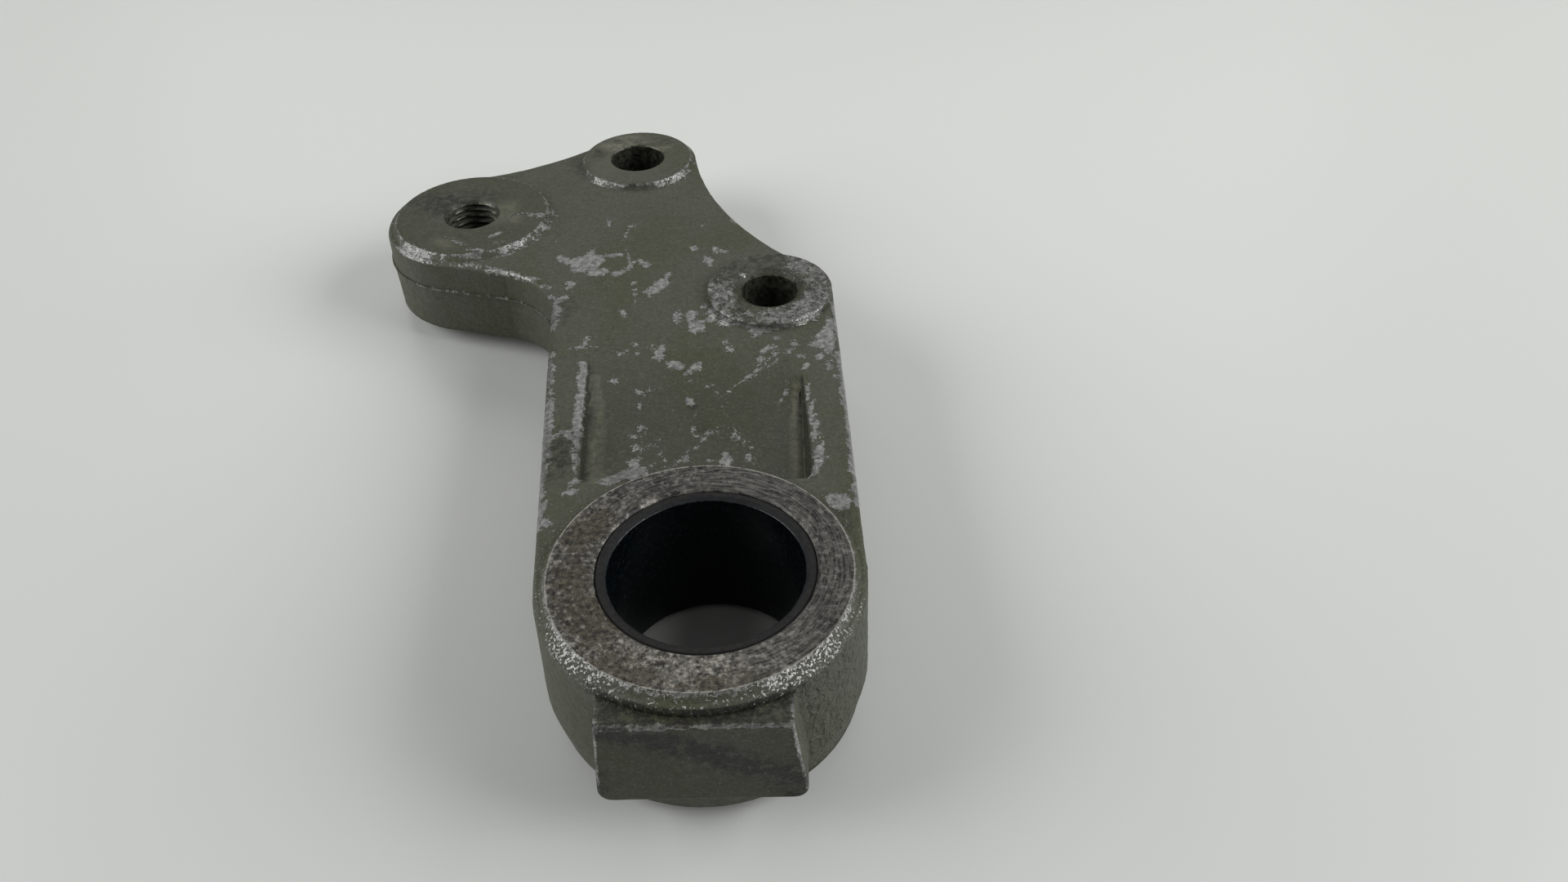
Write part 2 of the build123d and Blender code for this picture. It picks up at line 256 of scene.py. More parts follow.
split_edges(casting, close_cell, seen_closely)
split_edges(casting, chip_cell, by_a_chip)
bpy.ops.object.mode_set(mode="OBJECT")

skin = casting.data
points = len(skin.vertices)
flat = np.zeros(points * 3)
skin.vertices.foreach_get("co", flat)
place = flat.reshape(-1, 3) / MM
skin.vertices.foreach_get("normal", flat)
facing = flat.reshape(-1, 3).copy()

# Thread: 60 degree flanks with small flats, running out at both ends of the hole
reach = np.hypot(place[:, 0] - tapped_x, place[:, 1] - tapped_y)
wall = (np.abs(reach - tapping_radius) < 0.1) & (place[:, 2] > thread_foot) & (place[:, 2] < thread_top)
swing = np.arctan2(place[:, 1] - tapped_y, place[:, 0] - tapped_x) / (2 * pi)
phase = (place[:, 2] / thread_pitch - swing) % 1.0
flank_top, flank_slope = 1.3, 3.2
flank = np.clip(flank_top - np.abs(phase - 0.5) * flank_slope, 0, 1)
run_out = np.clip(np.minimum(place[:, 2] - thread_foot, thread_top - place[:, 2]) / thread_run_out, 0, 1)
grown = 1 + (thread_root_radius - tapping_radius) * flank * run_out / tapping_radius
for axis, centre in ((0, tapped_x), (1, tapped_y)):
    place[wall, axis] = centre + (place[wall, axis] - centre) * grown[wall]

# Recess: the left wall leans a little more than it was drawn, its foot is filled up with paint,
# the near left corner runs out to the rail in a smooth slope, and the right wall fades out at
# its far end. Points are only raised, each to the least height that these four allow there.
xs, ys, zs = place.T
up = facing[:, 2]
down_share = np.clip((recess_mouth - ys) / (recess_mouth - recess_near_end), 0, 1)
opening = np.clip(3 * down_share, 0, 1)
recess_left, recess_right, left_lean = -19.5, 12.5, 0.45
left_top, left_end = recess_left + 1.6 * down_share, recess_left + 2.22 * down_share + left_lean * opening
right_top, right_end = recess_right + 1.3 * down_share, recess_right + 0.24 * down_share
in_wedge = (ys > recess_near_end - 0.2) & (ys < recess_mouth + 0.5) & (zs > 5.5)
in_wedge &= (zs < plate_top + 0.01) & (xs > left_top - 0.2) & (xs < right_top + 0.2)
no_least, kept_roughness = -20, 0.04
lean = np.clip((xs - left_top) / np.maximum(left_end - left_top, 0.05), 0, 1)
least = plate_top - recess_bevel * down_share - lean * (recess_depth - recess_bevel) * down_share
least = np.where(xs > right_end - 0.02, no_least, least)
corner_start, corner_length, corner_edge = 15.8, 8.0, -8.5
corner_slope = np.clip((ys - corner_start) / corner_length, 0, 1)
corner_slope = corner_slope ** 2 * (3 - 2 * corner_slope)
corner_slope = np.maximum(corner_slope, np.clip((xs + 12.0) / 3.5, 0, 1))
corner_least = plate_top - recess_depth * down_share * corner_slope
least = np.maximum(least, np.where(xs < corner_edge, corner_least, no_least))
fade = np.clip((xs - right_end + 3.5) / 2.5, 0, 1) * np.clip((ys - 36.5) / 3.5, 0, 1)
fade_least = plate_top - 0.02 - recess_depth * down_share * (1 - fade)
least = np.maximum(least, np.where(fade > 0, fade_least, no_least))
raised = in_wedge & (zs < least)
place[raised, 2] = least[raised] + kept_roughness * (place[raised, 2] - least[raised])


def around(x, y, z=None, reach_z=1.0):
    """Distance in mm of every point of the skin from a place."""
    d = np.hypot(xs - x, ys - y)
    return d if z is None else np.sqrt(d ** 2 + ((zs - z) / reach_z) ** 2)


def strip(start, end, width):
    """How far inside a band along a line in space each point lies, in mm."""
    first, along = np.array(start, float), np.array(end, float) - np.array(start, float)
    share = np.clip(((place - first) @ along) / (along @ along), 0, 1)
    return width - np.linalg.norm(place - first - share[:, None] * along, axis=1)


def bearing(x, y):
    """Direction in degrees, 0 to 360, from a centre to every point of the skin."""
    return np.degrees(np.arctan2(ys - y, xs - x)) % 360


def sector(angle, first, last, soft=12.0):
    """1 between two bearings, fading to 0 outside them."""
    middle, half = (first + last) / 2, (last - first) / 2
    off = np.abs((angle - middle + 180) % 360 - 180)
    return np.clip((half + soft - off) / soft, 0, 1)


upper = (up > 0.3) & (zs > plate_top - 4)
bare = np.full(points, -1.5)
for chip in chips:
    bare = np.maximum(bare, np.where(upper, ovals(place, chip), -1.5))

# Worn edges: the rails, the rims of the arm and of the tapped lobe, and the lug
lug_top, lug_front, lug_foot_front = 8.55, -22.6, -23.3
worn = [
    ((-20.0, 41.5, 9.9), (-19.2, 27.0, 9.9), 0.75), ((-19.2, 27.0, 9.9), (-18.7, 23.0, 9.9), 0.55),
    ((-22.4, 8.0, 9.6), (-23.0, 20.0, 9.6), 0.5), ((-23.0, 20.0, 9.6), (-24.0, 34.0, 9.6), 0.8),
    ((-24.1, 36.0, 9.5), (-25.2, 46.0, 9.5), 0.55), ((-25.6, 52.0, 9.5), (-26.1, 60.0, 9.5), 0.6),
    ((-26.1, 60.0, 9.5), (-28.2, 64.0, 9.4), 0.5), ((-28.2, 64.0, 9.4), (-29.8, 66.2, 9.4), 0.45),
    ((-29.8, 66.2, 9.4), (-35.0, 68.9, 9.4), 0.5), ((-35.0, 68.9, 9.4), (-42.0, 71.5, 9.4), 0.55),
    ((-42.0, 71.5, 9.4), (-46.2, 72.4, 9.4), 0.45), ((19.6, 12.0, 9.4), (19.1, 30.0, 9.4), 0.75),
    ((19.1, 30.0, 9.4), (18.5, 45.0, 9.4), 0.6), ((18.3, 50.0, 9.5), (18.1, 58.0, 9.5), 0.5),
]
for band in worn:
    bare = np.maximum(bare, strip(*band))

# Edges of the lug: the same, but in thinner and cleaner lines, so their sides are steeper
lug_edges = [
    ((-11.9, lug_front, 8.4), (-4.0, lug_front, 8.4), 0.42),
    ((-4.0, lug_front, 8.4), (10.3, lug_front, 8.4), 0.26),
    ((-12.2, lug_front, 8.4), (-12.3, -18.4, 8.5), 0.3),
    ((10.6, lug_front, 8.4), (10.6, -18.6, 8.5), 0.3),
    ((10.7, lug_front, 8.0), (12.2, lug_foot_front, -2.6), 0.42),
    ((-12.2, lug_front, 8.0), (-12.7, lug_foot_front, -1.0), 0.3),
]
line_steepness = 2.0
for band in lug_edges:
    bare = np.maximum(bare, line_steepness * strip(*band))

# The nick in the recess floor: a dent from a dropped tool, its near edge scraped bare
nick_dent, nick_depth, nick_side = (-1.7, 29.2, 1.1, 1.2, 0), 0.45, 0.6
for band in (((-3.2, 30.2, 8.3), (-2.7, 28.4, 8.2), 0.3), ((-2.7, 28.4, 8.2), (-1.5, 27.6, 8.1), 0.34)):
    bare = np.maximum(bare, strip(*band))
pressed = np.clip(ovals(place, nick_dent) / nick_side, 0, 1) * (zs > 6) * (zs < plate_top)
zs -= nick_depth * pressed * upper

# Bevels of the hub and the bosses, rubbed bright where hands and bolts reach them. On the hub's shoulder
# only the tips of the rough skin are bright, most of all in two places at the front where the lamps glint,
# so there the brightness is partly a painted highlight.
face_level, land_level, pad_level = 10.3, 10.2, -4.9
hub_reach, hub_angle = around(hub_x, hub_y), bearing(hub_x, hub_y)
shoulder = (hub_reach > hub_land_radius - 0.1) & (hub_reach < hub_radius + 0.2) & (zs > 7.6) & (ys < 14)
shoulder &= ~((up > 0.8) & (zs < 9.2))
sparkle = sector(hub_angle, 214, 236, 12) + sector(hub_angle, 298, 322, 14)
sparkle = np.maximum(0.85 * sparkle, 0.2 * sector(hub_angle, 190, 345, 12))
sparkle = np.where(shoulder, np.clip(sparkle, 0.1, 1), 0) * np.clip((zs - 8.6) / 1.4, 0, 1)
rub = 0.1 * sector(hub_angle, 205, 240) + 0.1 * sector(hub_angle, 302, 335) - 0.4
bare = np.where(shoulder, np.maximum(bare, rub), bare)
rim = (np.abs(hub_reach - hub_land_radius - 0.1) < 0.28) & (zs > face_level)
bare = np.where(rim, np.maximum(bare, 0.1 * sector(hub_angle, 190, 350, 20) - 0.05), bare)

tapped_reach, tapped_angle = around(tapped_x, tapped_y), bearing(tapped_x, tapped_y)
tapped_bevel = (tapped_reach > tapped_land_radius - 0.15) & (tapped_reach < tapped_bevel_radius + 0.4)
tapped_bevel &= zs > 9.2
rub = 0.8 * sector(tapped_angle, 222, 240, 9) + 0.42 * sector(tapped_angle, 302, 318, 7) - 0.33
rub += 0.27 * sector(tapped_angle, 326, 372, 12) + 0.12 * sector(tapped_angle, 245, 300, 10)
bare = np.where(tapped_bevel, np.maximum(bare, rub), bare)

far_reach, far_angle = around(far_x, far_y), bearing(far_x, far_y)
far_bevel = (far_reach > far_land_radius - 0.1) & (far_reach < far_bevel_radius + 0.1) & (zs > 9.7)
rub = 0.5 * sector(far_angle, 224, 240, 8) + 0.34 * sector(far_angle, 298, 334, 10) - 0.3
bare = np.where(far_bevel, np.maximum(bare, rub), bare)
for reach_of, land in ((tapped_reach, tapped_land_radius), (far_reach, far_land_radius)):
    rim = (np.abs(reach_of - land - 0.05) < 0.22) & (zs > 10.4)
    bare = np.where(rim, np.maximum(bare, 0.12), bare)

# Side boss: its rim and its land are rubbed in places, and paint is left beside the hole
side_reach, side_angle = around(side_x, side_y), bearing(side_x, side_y)
side_rim = (side_reach > side_land_radius - 0.45) & (side_reach < side_bevel_radius + 0.45) & (zs > 9.8)
rub = 0.3 * sector(side_angle, 215, 285, 8) + 0.75 * sector(side_angle, 286, 322, 8) - 0.3
rub += 0.3 * sector(side_angle, 20, 70)
bare = np.where(side_rim, np.maximum(bare, rub), bare)
side_land = (side_reach < side_land_radius) & (side_reach > 4.4) & (zs > land_level)
rub = 0.3 * sector(side_angle, 270, 345, 20) + 0.25 * sector(side_angle, 170, 215, 15) - 0.12
rub += 0.3 * sector(side_angle, 20, 60, 15) - 0.3 * sector(side_angle, 80, 150, 15)
rub -= np.clip((6.4 - side_reach) / 1.5, 0, 0.4)
bare = np.where(side_land, np.maximum(bare, rub), bare)

# Large chips, where the paint is gone right through
large_chips = [
    (0.9, 53.3, 0.9, 0.8, 60), (-0.9, 55.2, 0.9, 0.7, 70), (6.2, 50.9, 1.5, 0.5, 10),
    (-13.6, 18.0, 1.4, 1.2, 50), (-11.8, 20.0, 1.9, 1.3, 40), (-10.0, 21.2, 1.3, 1.0, 25),
    (-11.2, 23.2, 0.5, 0.7, 0), (-25.3, 60.8, 0.9, 0.7, 60), (-25.7, 57.6, 0.6, 0.9, 0),
    (-24.9, 63.8, 0.5, 0.3, 0), (-45.1, 77.2, 0.9, 0.25, -35), (-41.8, 74.5, 0.8, 0.35, 0),
    (-38.2, 79.8, 0.3, 0.45, 0), (-39.7, 78.6, 0.35, 0.25, 50), (-36.5, 85.4, 0.6, 0.15, 40),
    (-32.6, 85.4, 1.1, 0.35, -10), (-38.0, 76.7, 0.5, 0.3, 0),
]
for chip in large_chips:
    bare = np.where(upper, np.maximum(bare, ovals(place, chip) + 0.2), bare)

# Brightest of all where metal rubs on metal, lightened further as a painted highlight: knocks by the side
# boss and parts of three bevels
sparkle = np.where(side_rim, 1.1 * sector(side_angle, 294, 318, 6), sparkle)
for knock in ((0.9, 53.3, 1.0, 0.9, 60), (-0.9, 55.2, 0.8, 0.6, 70), (3.6, 65.4, 0.5, 0.45, 60)):
    inside = np.where(upper, np.clip(ovals(place, knock) / 0.4 + 0.6, 0, 1), 0)
    bare = np.where(inside > 0, np.maximum(bare, 0.5 * inside - 0.1), bare)
    sparkle = np.maximum(sparkle, 1.3 * inside)
# Painted highlight: on the tapped and far bevels the sparkle sits where the lamps glint
sparkle = np.where(tapped_bevel, 1.2 * sector(tapped_angle, 228, 238, 8), sparkle)
polish_and_glint = 0.9 * sector(far_angle, 226, 236, 7) + 0.7 * sector(far_angle, 306, 326, 8)
sparkle = np.where(far_bevel, polish_and_glint, sparkle)

# The parting ridge stands proud, so its crest is rubbed to a broken light line
crest = (np.abs(zs - joint_level) < 0.25) & (np.abs(up) < 0.8) & (ys > 24.5)
on_lobe = (xs < -24) & (ys < 80)
ridge_rub = np.where(on_lobe, np.where(xs < -33, -0.16, -0.02), -0.25)
bare = np.where(crest, np.maximum(bare, ridge_rub), bare)

# Grime and painted shade: oil and brake dust on the faces, and shade painted into the crease at the lug's
# root, on the lug's shelf under the hub's shoulder and under the parting ridge. First the smears on the
# upper side: an oval as for a chip, and how dark it is.
smears = [
    (-49.8, 90.0, 2.6, 2.4, 0, 1.3), (-44.6, 92.2, 3.2, 1.5, 0, 0.7), (-52.6, 91.5, 2.4, 1.6, 20, 0.8),
    (-53.2, 86.6, 1.6, 0.8, 0, 0.4), (-23.6, 106.4, 0.8, 1.2, 0, 0.6), (-12.2, 111.0, 1.6, 1.0, 30, 0.5),
    (-15.9, 95.4, 1.9, 0.5, 0, 0.8), (-23.8, 107.6, 0.9, 1.0, 0, 1.0), (-20.6, 111.8, 0.7, 0.6, 0, 1.0),
    (-17.0, 111.6, 0.6, 0.5, 0, 1.0), (-14.6, 112.6, 1.4, 0.7, 0, 0.7), (-27.4, 103.8, 1.2, 2.6, 20, 0.5),
    (-14.8, 113.0, 2.0, 0.8, 0, 0.5), (-21.3, 23.4, 2.0, 3.0, 0, 1.0), (-21.6, 20.2, 1.6, 2.0, 0, 0.7),
    (10.4, 52.2, 3.0, 0.8, 20, 0.7), (14.6, 55.6, 1.5, 0.8, 60, 0.7), (-3.2, 34.2, 0.5, 0.4, 0, 0.9),
    (16.4, 9.4, 1.6, 2.4, 0, 0.7), (-24.6, 57.5, 1.4, 3.0, 0, 0.4), (3.6, 54.6, 2.2, 1.4, 0, 0.6),
]


def smeared(patches):
    """How strongly soft ovals mark each point of the upper side, the strongest where they meet."""
    found = np.zeros(points)
    for *oval, depth in patches:
        inside = np.clip(1 + ovals(place, oval) / oval[3], 0, 1)
        found = np.maximum(found, np.where(upper, depth * inside, 0))
    return found


grime_and_shade = smeared(smears)
lug_face = (ys < -22.0) & (xs > -13.5) & (xs < 13.2)
slanting_band = np.clip(1.1 - np.abs(zs - (5.8 - 0.42 * (xs + 4))) / 2.6, 0, 1)
grime_and_shade = np.where(lug_face, 2.4 * slanting_band, grime_and_shade)
right_corner = np.clip(1.6 - np.hypot(xs - 11.0, zs + 3.0) / 3.0, 0, 0.8)
left_corner = np.clip(1.3 - np.hypot(xs + 12.4, (zs + 1.5) / 2.2) / 1.3, 0, 0.9)
grime_and_shade = np.where(lug_face, np.maximum(grime_and_shade, np.maximum(left_corner, right_corner)), grime_and_shade)
# Painted shade: the crease where the lug meets the hub's shoulder is darkened
lug_root = (np.abs(hub_reach - hub_radius) < 1.0) & (ys < -17) & (zs < 9.6) & (zs > 8.2)
grime_and_shade = np.where(lug_root, 1.4, grime_and_shade)
# Painted shade: the lug's top shelf under the hub's shoulder is darkened
lug_shelf = (ys < -18.5) & (up > 0.7) & (np.abs(zs - lug_top) < 0.6)
grime_and_shade = np.where(lug_shelf, np.maximum(grime_and_shade, 0.9), grime_and_shade)
grime_and_shade = np.where(side_land, np.maximum(grime_and_shade, 0.75), grime_and_shade)
tapped_mouth = (tapped_reach < 5.5) & (tapped_reach > 4.2) & (zs > 9) & (zs < hub_face - 0.01)
grime_and_shade = np.where(tapped_mouth, 0.9, grime_and_shade)
# Painted shade: a dark line under the parting ridge on the lobe
under_ridge = (np.abs(zs - joint_level + 0.5) < 0.5) & on_lobe
grime_and_shade = np.where(under_ridge, np.maximum(grime_and_shade, 0.35), grime_and_shade)

# Pale: paint rubbed thin and dusted, on the far boss and by the tapped hole; in the recess's gutters it is
# painted light, where they would catch the lamps
rubbed = [
    (-20.6, 110.2, 2.2, 1.4, 10, 0.65), (-17.4, 112.6, 2.6, 1.0, -5, 0.6),
    (-12.6, 108.8, 1.4, 0.8, 20, 0.5), (-19.0, 108.9, 1.6, 0.7, 40, 0.5),
    (-38.6, 86.6, 1.5, 2.6, -15, 0.3), (-36.2, 84.2, 0.9, 0.9, 0, 0.35),
    (-47.5, 76.9, 1.6, 0.8, -35, 0.3), (-22.0, 104.0, 1.6, 4.0, 0, 0.15),
]
pale = smeared(rubbed)
# Painted light: the gutters along the recess walls are made pale
left_gutter = in_wedge & (xs > left_end) & (xs < left_end + 1.3 + down_share) & (ys < 41)
right_gutter = in_wedge & (xs < right_end + 0.05) & (xs > right_end - 1.25) & (ys < 38)
pale = np.where(left_gutter, 0.3, pale)
pale = np.where(right_gutter, 0.35, pale)

# Darker, greener coat: painted shade in the recess, deepest towards the hub and full on its walls, and on
# the lug's front face; the tapped land is darkened a little too
in_recess = in_wedge & (zs < plate_top - 0.15)
shade_and_dark_coat = np.where(in_recess, np.clip((46 - ys) / 12, 0, 1) * 0.4, 0)
shade_and_dark_coat = np.where(left_gutter | right_gutter, 0, shade_and_dark_coat)
on_wall = (xs < left_end + 0.05) | (xs > right_end + 0.05)
on_wall &= in_wedge & (zs < plate_top - recess_bevel * down_share - 0.1) & (ys < 44)
shade_and_dark_coat = np.where(on_wall, 1.0, shade_and_dark_coat)
shade_and_dark_coat = np.where(lug_face, 0.35, shade_and_dark_coat)
shade_and_dark_coat = np.where(upper & (tapped_reach < tapped_land_radius) & (zs > land_level), 0.3, shade_and_dark_coat)

# Machined hub face: pale bloom near the front, brown stains, tool rings plainest on the right, and a
# painted glint on the edge of the seat
bloom_and_glint = 0.02 + 1.0 * sector(hub_angle, 250, 290, 42) + 0.22 * sector(hub_angle, 150, 220, 25)
tooled = 0.35 + 0.65 * sector(hub_angle, 300, 430, 25) + 0.45 * sector(hub_angle, 55, 120, 20)
# Painted highlight: a glint on the seat's edge, drawn in the bloom colour
seat_glint = (around(0, 0) < bush_seat_radius + 0.3) & (np.abs(bearing(0, 0) - 124) < 4)
bloom_and_glint = np.where(seat_glint, 3.0, bloom_and_glint)
brown = np.zeros(points)
for stain in ((-15.4, 6.7, 3.0, 1.6, 60), (-13.6, -8.6, 3.4, 2.0, -55), (-9.3, -16.1, 3.2, 1.4, -30),
              (-16.8, -1.5, 2.2, 1.6, 90), (13.4, -13.6, 2.2, 1.0, 45), (3.5, -18.0, 4.0, 0.8, 8)):
    brown = np.maximum(brown, np.clip(1 + ovals(place, stain) / stain[3], 0, 1))

# As cast: everything but the machined faces, the holes and the bore
widest_mouth = 5.8
machined = (hub_reach < hub_land_radius + 0.05) & (np.abs(zs) > face_level)
machined |= around(0, 0) < bush_seat_radius + 0.6
for x, y, land, _ in bosses:
    machined |= (around(x, y) < land + 0.05) & ((zs > land_level) | (zs < pad_level))
    machined |= around(x, y) < widest_mouth
cast = np.where(machined, 0.0, 1.0)

# Hammered: the hub's right flank, where the mould was rough
hammered = np.clip((xs - 9) / 4, 0, 1) * np.clip((14 - ys) / 6, 0, 1)
hammered = np.where(machined, 0.0, hammered * np.clip((0.5 - np.abs(up)) / 0.3, 0, 1))

marks = {
    "bare": bare, "sparkle": sparkle, "grime_and_shade": grime_and_shade, "pale": pale, "cast": cast, "hammered": hammered,
    "shade_and_dark_coat": shade_and_dark_coat, "bloom_and_glint": bloom_and_glint, "brown": brown, "tooled": tooled,
}
for name, values in marks.items():
    layer = skin.attributes.new(name, "FLOAT", "POINT")
    layer.data.foreach_set("value", values.astype(np.float32))
skin.vertices.foreach_set("co", (place * MM).ravel())

# The skin of a sand casting isn't flat: it is pressed in a little by clouds of noise
cast_group = casting.vertex_groups.new(name="as_cast")
hammered_group = casting.vertex_groups.new(name="hammered")
for point in np.nonzero(cast)[0]:
    cast_group.add([int(point)], 1.0, "REPLACE")
for point in np.nonzero(hammered > 0.02)[0]:
    hammered_group.add([int(point)], float(hammered[point]), "REPLACE")
for group, cloud_size, depth in (("as_cast", 3.2, 0.10), ("hammered", 0.9, 0.22)):
    clouds = bpy.data.textures.new(group, "CLOUDS")
    clouds.noise_scale = cloud_size * MM
    clouds.noise_depth = 2
    press = casting.modifiers.new(group, "DISPLACE")
    press.texture = clouds
    press.texture_coords = "LOCAL"
    press.vertex_group = group
    press.mid_level = 1.0
    press.strength = depth * MM
    bpy.context.view_layer.objects.active = casting
    bpy.ops.object.modifier_apply(modifier=press.name)
bpy.ops.object.select_all(action="DESELECT")
casting.select_set(True)
bpy.ops.object.shade_smooth_by_angle(angle=radians(28))

# The lower rim's small bevel was dressed by hand, so it shades as a soft edge
ends = np.zeros(len(skin.edges) * 2, int)
skin.edges.foreach_get("vertices", ends)
flat = np.zeros(len(skin.vertices) * 3)
skin.vertices.foreach_get("co", flat)
middles = (flat.reshape(-1, 3) / MM)[ends].reshape(-1, 2, 3).mean(axis=1)
on_rim = (middles[:, 2] > plate_bottom - 0.12) & (middles[:, 2] < plate_bottom + 0.85)
for x, y, land, _ in bosses:
    on_rim &= np.hypot(middles[:, 0] - x, middles[:, 1] - y) > land + 0.3
on_rim &= np.hypot(middles[:, 0] - hub_x, middles[:, 1] - hub_y) > hub_radius + 0.3
sharp = np.zeros(len(skin.edges), bool)
skin.attributes["sharp_edge"].data.foreach_get("value", sharp)
skin.attributes["sharp_edge"].data.foreach_set("value", sharp & ~on_rim)


def linear(colour):
    """Linear values of an sRGB hex colour."""
    parts = [int(colour[i:i + 2], 16) / 255 for i in (0, 2, 4)]
    return [p / 12.92 if p <= 0.04045 else ((p + 0.055) / 1.055) ** 2.4 for p in parts] + [1.0]


def add(tree, kind, inputs, output=0, **options):
    """Adds a node with its options and its inputs, each a value or a link, and gives one output."""
    node = tree.nodes.new("ShaderNode" + kind)
    for option, value in options.items():
        setattr(node, option, value)
    for name, value in inputs.items():
        if isinstance(value, bpy.types.NodeSocket):
            tree.links.new(value, node.inputs[name])
        else:
            node.inputs[name].default_value = value
    return node.outputs[output]


def finish(name):
    """A new material with its node tree, its shader and its place on the piece in millimetres."""
    made = bpy.data.materials.new(name)
    made.use_nodes = True
    tree = made.node_tree
    spot = add(tree, "TexCoord", {}, "Object")
    spot = add(tree, "VectorMath", {0: spot, "Scale": 1 / MM}, operation="SCALE")
    return made, tree, tree.nodes["Principled BSDF"], spot


# Olive-grey paint on cast aluminium. The paint is thin and satin, darker and greener where shade is
# painted in, peppered with fine dust, and broken by chips whose bottoms are dull bare metal, with bare
# tips lightened by a painted highlight.
paint, tree, shader, spot = finish("olive_paint_on_cast_aluminium")
smooth = {"interpolation_type": "SMOOTHSTEP"}
field = {}
for name in ("bare", "sparkle", "grime_and_shade", "pale", "shade_and_dark_coat", "cast", "hammered"):
    field[name] = add(tree, "Attribute", {}, "Fac", attribute_name=name)

# Sizes of its patterns in millimetres: the torn edges of the chips and the crumbs along them, bright
# flecks on worn tips with their painted highlight, the slow drift of the colour, dust, patches of dirt and
# painted shade, scuffs in bare metal, the grain of the sand and the dimples of the rough flank. The dust
# is drawn a little coarser than it is, so that it shows.
torn_size, crumb_size, fleck_size, drift_size, dust_size = 1.3333, 0.3125, 0.35714, 14.286, 0.41667
patch_size, scuff_size, grain_size, dimple_size = 1.1111, 0.76923, 1.25, 1.0526
ragged = add(tree, "TexNoise", {
    "Vector": spot, "Scale": 1 / torn_size, "Detail": 5.0, "Roughness": 0.72,
}, "Fac")
crumbs = add(tree, "TexNoise", {
    "Vector": spot, "Scale": 1 / crumb_size, "Detail": 3.0, "Roughness": 0.6,
}, "Fac")
flecks = add(tree, "TexNoise", {
    "Vector": spot, "Scale": 1 / fleck_size, "Detail": 2.0, "Roughness": 0.6,
}, "Fac")
shift = add(tree, "Math", {0: ragged, 1: 0.5}, operation="SUBTRACT")
torn = add(tree, "Math", {0: shift, 1: 2.8, 2: field["bare"]}, operation="MULTIPLY_ADD")
shift = add(tree, "Math", {0: crumbs, 1: 0.5}, operation="SUBTRACT")
torn = add(tree, "Math", {0: shift, 1: 1.3, 2: torn}, operation="MULTIPLY_ADD")
metal_shows = add(tree, "MapRange", {"Value": torn, "From Min": -0.04, "From Max": 0.04}, **smooth)
tips_and_glints = add(tree, "Math", {0: field["sparkle"], 1: 0.155, 2: flecks}, operation="MULTIPLY_ADD")
tips_and_glints = add(tree, "MapRange", {"Value": tips_and_glints, "From Min": 0.64, "From Max": 0.69})
on_shoulder = add(tree, "MapRange", {"Value": field["sparkle"], "From Max": 0.15})
tips_and_glints = add(tree, "Math", {0: tips_and_glints, 1: on_shoulder}, operation="MULTIPLY")
metal_shows = add(tree, "Math", {0: metal_shows, 1: tips_and_glints}, operation="MAXIMUM")

drift = add(tree, "TexNoise", {
    "Vector": spot, "Scale": 1 / drift_size, "Detail": 3.0, "Roughness": 0.55,
}, "Fac")
drift = add(tree, "MapRange", {"Value": drift, "From Min": 0.42, "From Max": 0.58})
coat = add(tree, "MixRGB", {"Fac": drift, "Color1": linear("3F412D"), "Color2": linear("45473B")})
# Painted shade: the coat darkens towards this colour in the recess, on its walls and on the lug's face
coat = add(tree, "MixRGB", {"Fac": field["shade_and_dark_coat"], "Color1": coat, "Color2": linear("25271B")})
dust = add(tree, "TexNoise", {
    "Vector": spot, "Scale": 1 / dust_size, "Detail": 3.0, "Roughness": 0.75,
}, "Fac")
dust_shows = add(tree, "MapRange", {"Value": dust, "From Min": 0.54, "From Max": 0.72, "To Max": 0.55})
coat = add(tree, "MixRGB", {"Fac": dust_shows, "Color1": coat, "Color2": linear("686959")})
pits = add(tree, "MapRange", {"Value": dust, "From Min": 0.46, "From Max": 0.32, "To Max": 0.8})
coat = add(tree, "MixRGB", {"Fac": pits, "Color1": coat, "Color2": linear("2B2C22")})
patchy = add(tree, "TexNoise", {
    "Vector": spot, "Scale": 1 / patch_size, "Detail": 4.0, "Roughness": 0.65,
}, "Fac")
patchy = add(tree, "MapRange", {"Value": patchy, "From Min": 0.36, "From Max": 0.60})
rubbed_and_lit = add(tree, "Math", {0: patchy, 1: field["pale"]}, operation="MULTIPLY")
coat = add(tree, "MixRGB", {"Fac": rubbed_and_lit, "Color1": coat, "Color2": linear("81806E")})
# Grime darkens the coat; in the lug's crease, on its shelf and under the ridge this is painted shade
dirt_and_shade = add(tree, "Math", {0: patchy, 1: field["grime_and_shade"]}, operation="MULTIPLY", use_clamp=True)
speck_range = {"From Min": 0.62, "From Max": 0.46, "To Min": 0.6, "To Max": 1.1}
specked = add(tree, "MapRange", {"Value": dust, **speck_range})
dirt_and_shade = add(tree, "Math", {0: dirt_and_shade, 1: specked}, operation="MULTIPLY")
coat = add(tree, "MixRGB", {"Fac": dirt_and_shade, "Color1": coat, "Color2": linear("191813")})
scuffs = add(tree, "TexNoise", {
    "Vector": spot, "Scale": 1 / scuff_size, "Detail": 4.0, "Roughness": 0.7,
}, "Fac")
scuffs = add(tree, "MapRange", {"Value": scuffs, "From Min": 0.36, "From Max": 0.64})
metal = add(tree, "MixRGB", {"Fac": scuffs, "Color1": linear("666767"), "Color2": linear("A2A29E")})
worn_dirt_and_shade = add(tree, "Math", {0: dirt_and_shade, 1: 0.8}, operation="MULTIPLY")
metal = add(tree, "MixRGB", {"Fac": worn_dirt_and_shade, "Color1": metal, "Color2": linear("39372F")})
